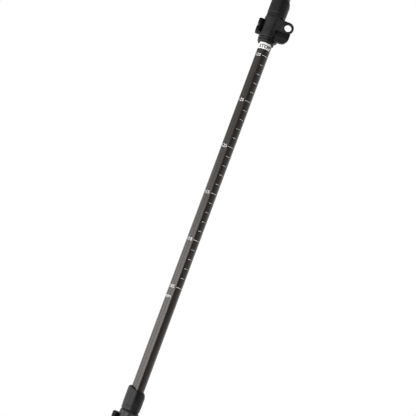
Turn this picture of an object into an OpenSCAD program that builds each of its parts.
// Three-section telescopic trekking pole with lever clamps, fully drawn out.
// The pole stands along Z with its tip down. The origin is on the shaft's axis, at the
// middle of the hand grip. -Y is the side that carries the printed scale, +X is the side
// that the levers' tabs point to.

/* [Length] */
// Height of the grip's top above the origin
grip_top = 75; // [60:1:90]
// From the grip's top down to the upper clamp's lower edge
upper_len = 506; // [480:1:560]
// From the upper clamp's lower edge to the lower clamp's lower edge
middle_len = 419.8; // [380:0.2:440]
// From the lower clamp's lower edge to the tip
lower_len = 387.2; // [350:0.2:420]

/* [Tubes] */
// Outer radius of the upper tube
upper_r = 8.0; // [7.9:0.05:8.1]
// Outer radius of the middle tube
middle_r = 6.7; // [6.6:0.05:6.75]
// Outer radius of the lower tube
lower_r = 5.7; // [5.6:0.05:5.75]
// Bore radius of the upper tube
upper_bore = 6.9; // [6.85:0.05:7.0]
// Bore radius of the middle tube
middle_bore = 5.85; // [5.8:0.05:5.9]
// Bore radius of the lower tube
lower_bore = 4.85; // [4.5:0.05:4.9]
// Length of the middle tube that stays inside the upper clamp and tube
middle_overlap = 104; // [90:1:110]
// Length of the lower tube that stays inside the lower clamp and tube
lower_overlap = 90; // [80:1:100]

/* [Clamps] */
// Height of a clamp
clamp_h = 29.2; // [28:0.1:31]
// Height of a ferrule above its clamp, at its lower, level edge
ferrule_h = 19.9; // [18:0.1:22]
// Height of a ferrule above its clamp, at the crest of its wave
ferrule_crest = 23.2; // [22:0.1:25]
// Outer radius of the upper ferrule
upper_ferrule_r = 10.15; // [9.9:0.05:10.4]
// Outer radius of the lower ferrule
lower_ferrule_r = 9.65; // [9.3:0.05:9.8]
// Diameter of the eye in a lever's tab
eye_d = 7.3; // [6:0.1:7.6]
// Outer diameter of the ring round the eye
ring_d = 12; // [11:0.1:12.4]
// Radius of the cam
cam_r = 3.2; // [3:0.05:3.25]
// Height of the cam, along the pole
cam_h = 14; // [12:0.5:14]
// How far the cam's centre is from the axis that it turns about
cam_throw = 0.4; // [0.2:0.1:0.5]

/* [Grip and strap] */
// Radius of the grip at its fullest
grip_r = 16.5; // [15:0.5:17]
// Radius of the foam sleeve below the grip
sleeve_r = 12.5; // [11:0.5:14]
// Length of the foam sleeve below the grip
sleeve_len = 137; // [80:1:150]
// Width of the strap's webbing
strap_w = 20; // [16:1:22]
// Thickness of the strap's webbing
strap_t = 1.8; // [1.4:0.1:2]
// How far the strap's loop hangs below its pin
strap_drop = 165; // [140:5:180]

/* [Tip] */
// Radius of the basket
basket_r = 26; // [24:1:30]
// Radius of the tip holder's plain end, which takes a rubber tip
tip_r = 5; // [4.8:0.1:5.2]
// Length of the tip holder's plain end
tip_pin_len = 16; // [12:1:18]

/* [Hidden] */
$fn = 96;
run_gap = 0.05; // radial clearance of a running fit

// Levels along the pole
upper_z = grip_top - upper_len;
lower_z = upper_z - middle_len;
tip_z = lower_z - lower_len;
tube_seat = clamp_h + 1.8; // a fixed tube's end, above the clamp's lower edge

// Clamp: radii grow from the sliding tube's radius r
function tongue_r(r) = r + 1.25;
function collar_in(r) = r + 1.3;
function collar_out(r) = r + 2.5;
function lever_in(r) = r + 2.65;
function lever_out(r) = r + 4.3;
cam_x = -12.2;
cam_y = -3.7;
cam_z = 16.5;
pivot = [cam_x, cam_y - cam_throw, 0];
barrel_r = 2.0;
screw_r = 1.25;
screw_head_r = 2.4;
wrap_start = 197; // polar angles of the lever's wrapped face
wrap_end = 294;
wrap_low = 6.2; // levels of the lever's wrapped face
eye_x = 15.4;
eye_z = 21.2;
tab_t = 2.8;
ear_x = -15.2;
saddle_back = 0.35;
gap_front = 1.9; // the collar's split lies between these two
gap_back = 3.1;
ear_back = 6.0;
washer_t = 0.6;
big = 40;

// Grip
grip_low = -72;
ring_low = -78;
sleeve_low = ring_low - sleeve_len;
upper_tube_top = 52;
pin_x = -20.8;
pin_z = 50;
pin_r = 1.5;
strap_eye_r = 3.5;
strap_bend = 2.5; // radius of the webbing's centre line round the pin
loop_step = 0.05; // of the loop's parameter, which runs from 0 to 4
pad_t = 2.5;
slot_w = strap_w + 2;
cheek_w = 6;

// Tip
carbide_len = 6;
pin_top = tip_z + carbide_len + 2 + tip_pin_len;
thread_r = 6.9;
thread_low = pin_top + 9;
thread_len = 13;
holder_top = tip_z + 85;
lower_tube_end = holder_top - 46;
basket_hub_r = 9.5;
basket_t = 2;
basket_ribs = 10;

// ---------- helpers ----------

// A straight tube from level z0 to z1
module pipe(r_out, r_in, z0, z1) {
    translate([0, 0, z0]) difference() {
        cylinder(r = r_out, h = z1 - z0);
        translate([0, 0, -1]) cylinder(r = r_in, h = z1 - z0 + 2);
    }
}

// Points of a corner in the XZ plane, round if r is over 0
function corner(x, z, r, a0) = r == 0 ? [[x, z]]
    : [for (k = [0:8]) [x + r * cos(a0 + 11.25 * k), z + r * sin(a0 + 11.25 * k)]];

// A plate in the XZ plane. x, z and y are its limits, and r the radii of its left corners, its
// right upper corner and its right lower corner
module plate(x, z, y, r) {
    translate([0, y[1], 0]) rotate([90, 0, 0]) linear_extrude(y[1] - y[0]) polygon(concat(
        corner(x[1] - r[2], z[0] + r[2], r[2], -90), corner(x[1] - r[1], z[1] - r[1], r[1], 0),
        corner(x[0] + r[0], z[1] - r[0], r[0], 90), corner(x[0] + r[0], z[0] + r[0], r[0], 180)
    ));
}

// A sector of radius r from angle a0 to a1, which is under 180 degrees away
module slice(r, a0, a1) {
    steps = 6;
    polygon(concat([[0, 0]], [
        for (i = [0:steps]) let (a = a0 + (a1 - a0) * i / steps) r * [cos(a), sin(a)]
    ]));
}

// The sector of a ring, from level z0 to z1
module ring_sector(r_out, r_in, a0, a1, z0, z1) {
    translate([0, 0, z0]) linear_extrude(z1 - z0) difference() {
        intersection() {
            circle(r = r_out);
            slice(2 * r_out, a0, a1);
        }
        circle(r = r_in);
    }
}

// A hole along Y through the ears, on the screw's line
module screw_hole(r, y0, y1) {
    translate([pivot.x, y1, cam_z]) rotate([90, 0, 0]) cylinder(r = r, h = y1 - y0, $fn = 48);
}

// ---------- the clamp, built from the sliding tube's radius r ----------

// Sleeve of radius b, bonded on the fixed tube of radius tube_r, with a slit tongue below it
module ferrule(r, tube_r, b) {
    top = clamp_h + ferrule_crest;
    level = clamp_h + ferrule_h;
    round_r = b - tube_r - 0.4;
    difference() {
        union() {
            pipe(tongue_r(r), r + run_gap, 0.3, clamp_h + 0.4);
            rotate_extrude() polygon(concat(
                [[r + run_gap, clamp_h + 0.15], [b - 0.2, clamp_h + 0.15], [b - 0.2, clamp_h + 4.2],
                 [b, clamp_h + 4.4]],
                [for (a = [0:15:90]) [b - round_r + round_r * cos(a), top - round_r + round_r * sin(a)]],
                [[tube_r + 0.02, top], [tube_r + 0.02, tube_seat], [r + run_gap, tube_seat]]
            ));
        }
        // the wave in the top edge: a crest on the -X side, level on the +X side
        translate([0, big, 0]) rotate([90, 0, 0]) linear_extrude(2 * big) polygon([
            [-b + 2.2, top + 0.1], [-4.6, level + 1.9], [-0.8, level + 0.1], [1, level], [6.2, level],
            [b - 1.9, level - 1.0], [b - 0.9, level - 2.6], [b + 0.1, level - 5.4], [big, level - 5.4],
            [big, top + 5], [-b + 2.2, top + 5]
        ]);
        // slits that let the tongue close on the sliding tube
        for (a = [0, 90])
            rotate([0, 0, a + 35]) translate([-big, -0.6, -1]) cube([2 * big, 1.2, clamp_h - 4]);
    }
}

// Split band round the tongue, with its ears, its flared foot and the guard below the tab
module collar(r) {
    c = collar_out(r);
    core = collar_in(r) - 1;
    back = r + 3.9;
    foot = r + 3.1;
    wing_front = tab_t + 0.8 - lever_out(r);
    difference() {
        union() {
            difference() {
                rotate_extrude() polygon([
                    [core, 0.1], [r + 1.7, 0.1], [foot - 0.3, 1.6], [foot, 2.2], [foot, 4.6],
                    [back, 5.8], [back, clamp_h - 2.6], [back - 0.9, clamp_h - 0.6],
                    [back - 1.6, clamp_h], [core, clamp_h]
                ]);
                // recess that the lever's face lies in
                ring_sector(2 * c, c, 158, 317, 5.5, clamp_h + 1);
            }
            plate([ear_x, -7.5], [cam_z - 7, cam_z + 7], [saddle_back, ear_back], [1.4, 0.5, 0.5]);
            // guard wing: a back plate and a front lip
            plate([6.5, 20.0], [4.5, 17.2], [wing_front, wing_front + 2.8], [0.5, 0.8, 7.6]);
            difference() {
                plate([5.6, 18.8], [4.2, 10.6], [0.4 - lever_out(r), wing_front + 2.2], [0.8, 0.6, 5.6]);
                translate([0, 0, -1]) cylinder(r = lever_out(r) + 0.25, h = 20);
            }
            // web between the band and the lip
            ring_sector(lever_out(r) + 0.6, c - 0.4, 308, 332, 4.9, 10.1);
        }
        translate([0, 0, -1]) cylinder(r = collar_in(r), h = clamp_h + 2);
        translate([-big, gap_front, -1]) cube([big, gap_back - gap_front, clamp_h + 2]);
        screw_hole(screw_r + 0.15, -1, ear_back + 1);
        // the foot is cut back under the guard
        translate([0, big, 0]) rotate([90, 0, 0]) linear_extrude(2 * big)
            polygon([[r - 0.7, -1], [r - 0.7, 0.5], [r + 1.8, 4.1], [big, 4.1], [big, -1]]);
    }
}

// Plate between the cam and the collar's front ear
module saddle() {
    difference() {
        plate([ear_x + 0.3, -9.9], [cam_z - 6, cam_z + 6], [cam_y + cam_r + 0.08, saddle_back], [1, 1, 1]);
        screw_hole(screw_r + 0.15, -1, 1);
    }
}

// Cross-drilled nut that the cam turns on
module barrel() {
    difference() {
        translate(pivot + [0, 0, cam_z - cam_h / 2 + 0.4]) cylinder(r = barrel_r, h = cam_h - 0.8);
        screw_hole(screw_r + run_gap, pivot.y - 1.2, pivot.y + 4);
    }
}

module washer() {
    difference() {
        screw_hole(screw_head_r + 0.5, ear_back, ear_back + washer_t);
        screw_hole(screw_r + 0.15, ear_back - 1, ear_back + washer_t + 1);
    }
}

// Cap screw with a hexagon socket
module screw() {
    head = ear_back + washer_t + 0.05;
    difference() {
        union() {
            screw_hole(screw_r, pivot.y - 1.1, head + 0.5);
            screw_hole(screw_head_r, head, head + 2.4);
        }
        translate([pivot.x, head + 3, cam_z]) rotate([90, 0, 0]) cylinder(r = 1.25, h = 2.2, $fn = 6);
    }
}

// Wrapped face and tab
module lever(r) {
    tab_front = -lever_out(r);
    tab_back = tab_front + tab_t;
    core = lever_in(r) - 1;
    ring_r = ring_d / 2;
    difference() {
        union() {
            // the wrapped face, with a small bevel along both edges
            rotate([0, 0, wrap_start]) rotate_extrude(angle = wrap_end - wrap_start) polygon([
                [core, wrap_low], [lever_out(r) - 0.5, wrap_low], [lever_out(r), wrap_low + 0.6],
                [lever_out(r), clamp_h - 2.2], [lever_out(r) - 0.5, clamp_h - 0.8],
                [lever_out(r) - 1.2, clamp_h], [core, clamp_h]
            ]);
            // tab, round at its end
            plate([r - 3.4, eye_x + ring_r], [eye_z - ring_r, eye_z + ring_r], [tab_front, tab_back],
                [0, ring_r, ring_r]);
            // grip ribs at the tab's root
            for (i = [0:3])
                translate([9.2, tab_front - 0.35, eye_z - 4.2 + 1.5 * i]) cube([2.6, 1, 0.7]);
        }
        translate([0, 0, -1]) cylinder(r = lever_in(r), h = clamp_h + 2);
        translate([eye_x, tab_back + 1, eye_z]) rotate([90, 0, 0]) cylinder(r = eye_d / 2, h = tab_t + 2);
        translate([cam_x, cam_y, cam_z - cam_h / 2 - 0.02]) cylinder(r = cam_r + 0.01, h = cam_h + 0.04);
        // small notch in the top edge, by the tab's root
        rotate([0, 0, wrap_end - 270]) translate([-1.4, -lever_out(r), clamp_h - 1.2])
            rotate([90, 0, 0]) cylinder(r = 0.7, h = 2, center = true, $fn = 32);
    }
}

// Eccentric knuckle, slotted for the screw's sweep
module cam() {
    difference() {
        translate([cam_x, cam_y, cam_z - cam_h / 2]) cylinder(r = cam_r, h = cam_h);
        translate(pivot + [0, 0, cam_z - cam_h / 2 - 1]) cylinder(r = barrel_r + run_gap, h = cam_h + 2);
        translate(pivot + [0, 0, cam_z - 1.7]) linear_extrude(3.4) {
            slice(2 * cam_r, 50, 144);
            slice(2 * cam_r, 136, 250);
        }
    }
}

// ---------- guide bushes ----------

// Plug in a tube's top end: a flange that runs in the outer tube, a spigot in its own tube
module guide_bush(flange_r, spigot_r, z) {
    difference() {
        union() {
            translate([0, 0, z]) cylinder(r = flange_r, h = 6);
            translate([0, 0, z - 14]) cylinder(r = spigot_r, h = 15);
        }
        translate([0, 0, z - 15]) cylinder(r = spigot_r - 1.6, h = 23);
    }
}

// ---------- grip and strap ----------

module grip_head() {
    color("dimgray") difference() {
        hull() {
            translate([1, 0, 56]) scale([1.15, 1, 1]) sphere(r = grip_top - 56, $fn = 40);
            translate([8, 0, 50]) sphere(r = 15, $fn = 32);
            translate([0, 0, 36]) cylinder(r = 15.2, h = 4, $fn = 40);
            translate([-14, 0, 52]) rotate([90, 0, 0])
                cylinder(r = 9, h = slot_w + cheek_w, center = true, $fn = 32);
        }
        // flat underside, which sits on the foam
        translate([-big, -big, 0]) cube([2 * big, 2 * big, 36]);
        // socket for the upper tube
        translate([0, 0, 30]) cylinder(r = upper_r + 0.02, h = upper_tube_top - 30);
        // slot for the strap's eye, and the seat of the wedge above it
        translate([-big - 13, -slot_w / 2, 20]) cube([big, slot_w, 42]);
        translate([-big - 11, -slot_w / 2, 58]) cube([big, slot_w, 5]);
        translate([pin_x, 0, pin_z]) rotate([90, 0, 0]) cylinder(r = pin_r, h = big, center = true);
    }
}

module grip() {
    color("black") difference() {
        rotate_extrude() polygon(concat(
            [[upper_r + 0.02, 35.8], [15.2, 35.8]],
            [for (t = [0:0.05:1]) [grip_profile(t), 35 - t * (35 - grip_low - 1)]],
            [[12.6, grip_low + 0.1], [upper_r + 0.02, grip_low + 0.1]]
        ));
    }
}

// Grip radius from its top (t = 0) to its lower end (t = 1)
function grip_profile(t) = grip_r - 1.9 + 1.9 * pow(sin(180 * t), 2) - 1.1 * pow(sin(180 * t * 1.02), 14)
    - 0.6 * t;

module grip_ring() {
    color("dimgray") rotate_extrude() polygon([
        [upper_r + 0.02, ring_low], [13, ring_low], [14.6, ring_low + 1.4], [14.6, grip_low - 1.2],
        [13.8, grip_low], [upper_r + 0.02, grip_low]
    ]);
}

module grip_sleeve() {
    groove = 0.6;
    pitch = 12;
    color("black") rotate_extrude() polygon(concat(
        [[upper_r + 0.02, ring_low - 0.1], [sleeve_r - 0.6, ring_low - 0.1]],
        [
            for (z = [ring_low - 6 : -pitch : sleeve_low + pitch], k = [0:4])
                [sleeve_r - groove * sin(45 * k), z - k]
        ],
        [[sleeve_r, sleeve_low + 2.5], [sleeve_r - 1.8, sleeve_low], [upper_r + 0.02, sleeve_low]]
    ));
}

module strap_pin() {
    color("silver") translate([pin_x, 0, pin_z]) rotate([90, 0, 0])
        cylinder(r = pin_r - 0.01, h = slot_w + cheek_w, center = true);
}

module strap_wedge() {
    color("dimgray") difference() {
        translate([-24.6, -slot_w / 2 + 0.2, 58.2]) cube([13.4, slot_w - 0.4, 4.6]);
        translate([-26, -big / 2, 61.4]) rotate([0, -18, 0]) cube([12, big, 6]);
    }
}

// The strap's loop hangs behind the grip. Its centre line leaves the pin's inner side, runs
// down beside the grip, turns at the bottom and comes back up to the pin's outer side.
function bezier(p, t) = pow(1 - t, 3) * p[0] + 3 * pow(1 - t, 2) * t * p[1]
    + 3 * (1 - t) * t * t * p[2] + t * t * t * p[3];
loop_x = pin_x - 37;
loop_low = pin_z - strap_drop;
inner_top = [pin_x + strap_bend, pin_z];
inner_low = [pin_x + strap_bend - 0.5, -28];
loop_bottom = [pin_x - 21, loop_low];
outer_mid = [loop_x, -42];
outer_top = [pin_x - strap_bend, pin_z];
loop_curves = [
    [inner_top, inner_top - [0, 25], inner_low + [0, 25], inner_low],
    [inner_low, inner_low - [0, 45], loop_bottom + [17, 0], loop_bottom],
    [loop_bottom, loop_bottom - [15, 0], outer_mid - [6, 38], outer_mid],
    [outer_mid, outer_mid + [6, 38], outer_top - [0, 32], outer_top],
];
function loop_point(s) = let (k = min(3, floor(s))) bezier(loop_curves[k], s - k);
function loop_normal(s) = let (
    d = loop_point(min(4, s + 0.002)) - loop_point(max(0, s - 0.002))
) [-d.y, d.x] / norm(d);
function loop_side(s0, s1, off) = let (steps = round(abs(s1 - s0) / loop_step)) [
    for (i = [0:steps]) let (s = s0 + (s1 - s0) * i / steps) loop_point(s) + off * loop_normal(s)
];

// Band along the loop from s0 to s1, between two distances from its centre line
module strap_band(s0, s1, near, far, w) {
    rotate([90, 0, 0]) translate([0, 0, -w / 2]) linear_extrude(w) polygon(concat(
        loop_side(s0, s1, near), loop_side(s1, s0, far)
    ));
}

module strap_webbing() {
    color("black") difference() {
        union() {
            strap_band(0, 4, -strap_t / 2, strap_t / 2, strap_w);
            translate([pin_x, 0, pin_z]) rotate([90, 0, 0])
                cylinder(r = strap_eye_r, h = strap_w, center = true);
        }
        translate([pin_x, 0, pin_z]) rotate([90, 0, 0])
            cylinder(r = pin_r + run_gap, h = big, center = true);
    }
}

// The pad lies on the inner side of the loop's lower half
module strap_pad() {
    near = strap_t / 2 + 0.05;
    color("gray") strap_band(1.15, 2.85, -near - pad_t, -near, strap_w + 6);
}

// ---------- lower end ----------

module tip_holder() {
    color("black") rotate_extrude() polygon([
        [2.42, tip_z + carbide_len], [tip_r - 0.6, tip_z + carbide_len],
        [tip_r, tip_z + carbide_len + 2], [tip_r, pin_top],
        [thread_r - 0.4, thread_low - 1], [thread_r, thread_low], [thread_r, thread_low + thread_len],
        [8.4, thread_low + thread_len + 0.6], [8.4, thread_low + thread_len + 2.4],
        [7.4, thread_low + thread_len + 3.4], [7.7, holder_top - 8], [7.7, holder_top - 1.6],
        [7.1, holder_top], [lower_r + 0.02, holder_top], [lower_r + 0.02, lower_tube_end],
        [2.42, lower_tube_end - 1], [2.42, tip_z + carbide_len]
    ]);
}

module basket() {
    web_low = thread_low + 3;
    color("black") difference() {
        union() {
            pipe(basket_hub_r, thread_r + 0.02, thread_low, thread_low + thread_len);
            // dished web with a thicker rim
            rotate_extrude() polygon([
                [basket_hub_r - 1, web_low], [basket_r - 3, web_low + 4], [basket_r - 0.8, web_low + 3.6],
                [basket_r, web_low + 4.6], [basket_r, web_low + 7], [basket_r - 1.2, web_low + 7.8],
                [basket_r - 3, web_low + 6.4], [basket_hub_r - 1, web_low + basket_t + 0.6]
            ]);
            for (i = [0:basket_ribs - 1]) rotate([0, 0, 360 * i / basket_ribs])
                translate([0, 0.7, 0]) rotate([90, 0, 0]) linear_extrude(1.4) polygon([
                    [basket_hub_r - 1, web_low + 1], [basket_r - 2, web_low + 5],
                    [basket_r - 2, web_low + 6.8], [basket_hub_r - 1, thread_low + thread_len - 1]
                ]);
        }
        // holes between the ribs
        for (i = [0:basket_ribs - 1]) rotate([0, 0, 360 * (i + 0.5) / basket_ribs])
            translate([17.6, 0, web_low - 2]) cylinder(r = 3.1, h = 14);
    }
}

module carbide_tip() {
    color("silver") rotate_extrude() polygon([
        [0, tip_z + 0.9], [1.5, tip_z], [2.0, tip_z + 0.2], [2.4, tip_z + 2.2],
        [2.4, tip_z + 14], [0, tip_z + 14]
    ]);
}

// ---------- nodes ----------

module upper_tube() {
    color("darkslategray") pipe(upper_r, upper_bore, upper_z + tube_seat + 0.05, upper_tube_top - 0.1);
}
module upper_ferrule() {
    color("black") translate([0, 0, upper_z]) ferrule(middle_r, upper_r, upper_ferrule_r);
}
module upper_collar() { color("black") translate([0, 0, upper_z]) collar(middle_r); }
module upper_saddle() { color("silver") translate([0, 0, upper_z]) saddle(); }
module upper_barrel() { color("black") translate([0, 0, upper_z]) barrel(); }
module upper_washer() { color("silver") translate([0, 0, upper_z]) washer(); }
module upper_screw() { color("black") translate([0, 0, upper_z]) screw(); }
module upper_lever() { color("black") translate([0, 0, upper_z]) lever(middle_r); }
module upper_cam() { color("black") translate([0, 0, upper_z]) cam(); }

middle_top = upper_z + middle_overlap;
module middle_bush() { color("gray") guide_bush(upper_bore - run_gap, middle_bore - run_gap, middle_top); }
module middle_tube() {
    color("dimgray") pipe(middle_r, middle_bore, lower_z + tube_seat + 0.05, middle_top - 0.05);
}
module lower_ferrule() {
    color("black") translate([0, 0, lower_z]) ferrule(lower_r, middle_r, lower_ferrule_r);
}
module lower_collar() { color("black") translate([0, 0, lower_z]) collar(lower_r); }
module lower_saddle() { color("silver") translate([0, 0, lower_z]) saddle(); }
module lower_barrel() { color("black") translate([0, 0, lower_z]) barrel(); }
module lower_washer() { color("silver") translate([0, 0, lower_z]) washer(); }
module lower_screw() { color("black") translate([0, 0, lower_z]) screw(); }
module lower_lever() { color("black") translate([0, 0, lower_z]) lever(lower_r); }
module lower_cam() { color("black") translate([0, 0, lower_z]) cam(); }

lower_top = lower_z + lower_overlap;
module lower_bush() { color("gray") guide_bush(middle_bore - run_gap, lower_bore - run_gap, lower_top); }
module lower_tube() { color("dimgray") pipe(lower_r, lower_bore, lower_tube_end, lower_top - 0.05); }

grip_head();
grip();
grip_ring();
grip_sleeve();
strap_pin();
strap_wedge();
strap_webbing();
strap_pad();
upper_tube();
upper_ferrule();
upper_collar();
upper_saddle();
upper_barrel();
upper_washer();
upper_screw();
upper_lever();
upper_cam();
middle_bush();
middle_tube();
lower_ferrule();
lower_collar();
lower_saddle();
lower_barrel();
lower_washer();
lower_screw();
lower_lever();
lower_cam();
lower_bush();
lower_tube();
tip_holder();
basket();
carbide_tip();
